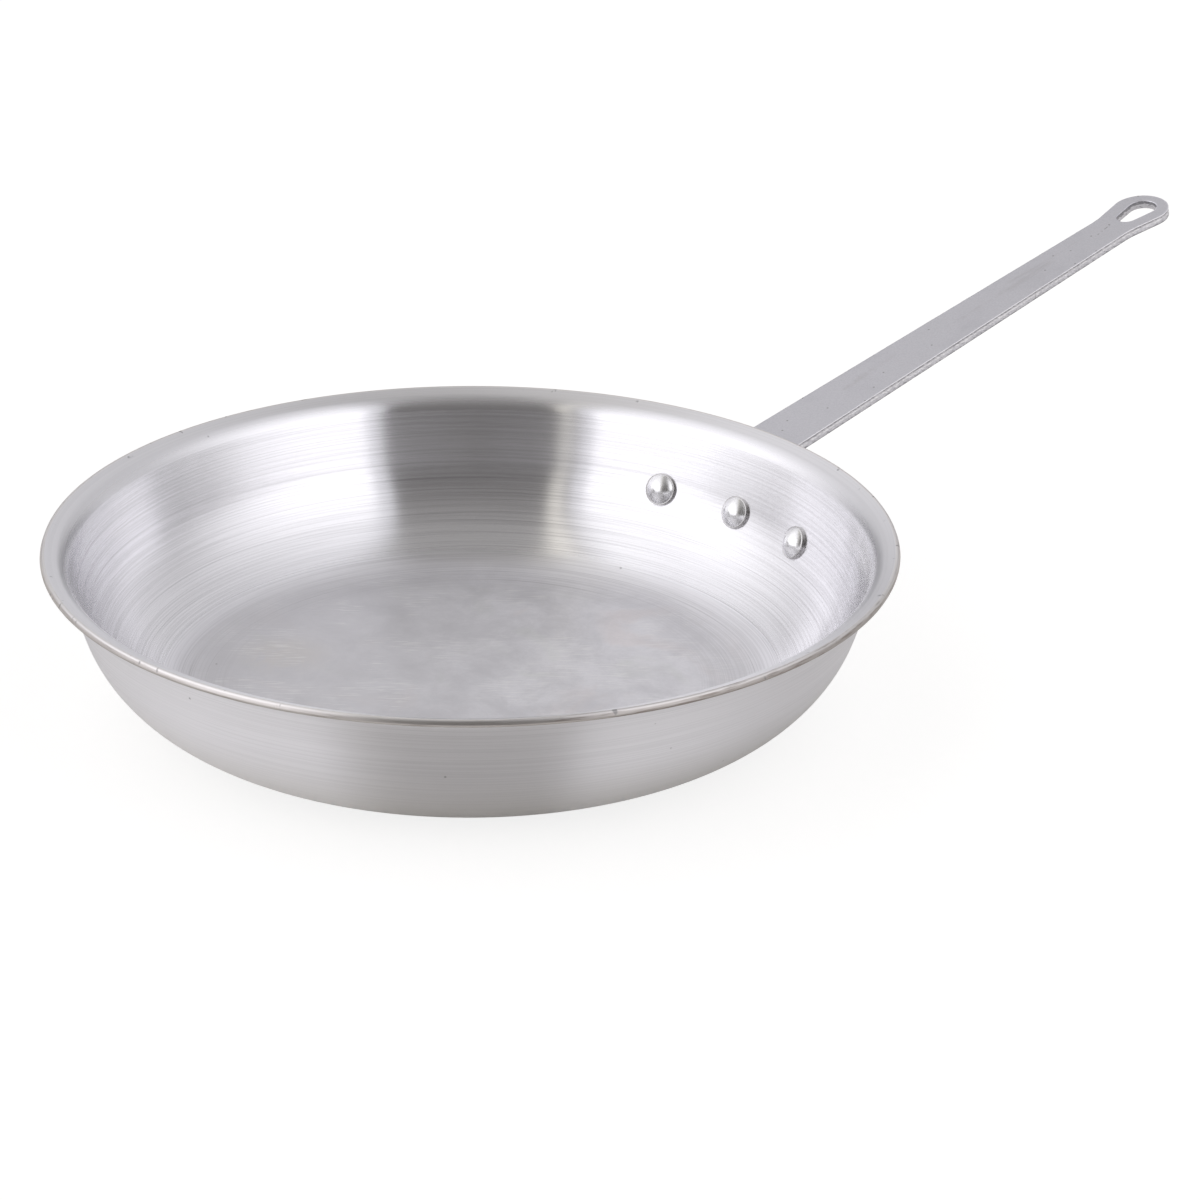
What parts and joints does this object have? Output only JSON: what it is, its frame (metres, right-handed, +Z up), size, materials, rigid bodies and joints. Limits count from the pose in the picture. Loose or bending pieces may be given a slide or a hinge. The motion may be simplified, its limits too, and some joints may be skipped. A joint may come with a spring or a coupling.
{
  "type": "omelette pan",
  "caption": "Open frying pan of spun aluminium sheet with a flared rim and a long flat steel bar handle, riveted to the wall and ending in a hanging eye.",
  "frame": {"origin": "centre of the flat underside of the pan's base, where the pan stands", "axes": "+Z up, along the pan's axis; +X along the handle, from the pan towards the hanging eye; +Y to the left of someone who looks from the pan towards the handle"},
  "size_m": [0.6216, 0.3556, 0.1202],
  "materials": {
    "spun_aluminium": "spun, with fine circular brush lines; satin floor",
    "plated_steel": "dull plated bar stock with sheared edges",
    "polished_aluminium": "polished domed heads"
  },
  "bodies": {
    "root": {"pan_body": "spun_aluminium", "handle": "plated_steel", "rivet_left": "polished_aluminium", "rivet_middle": "polished_aluminium", "rivet_right": "polished_aluminium"}
  },
  "joints": []
}
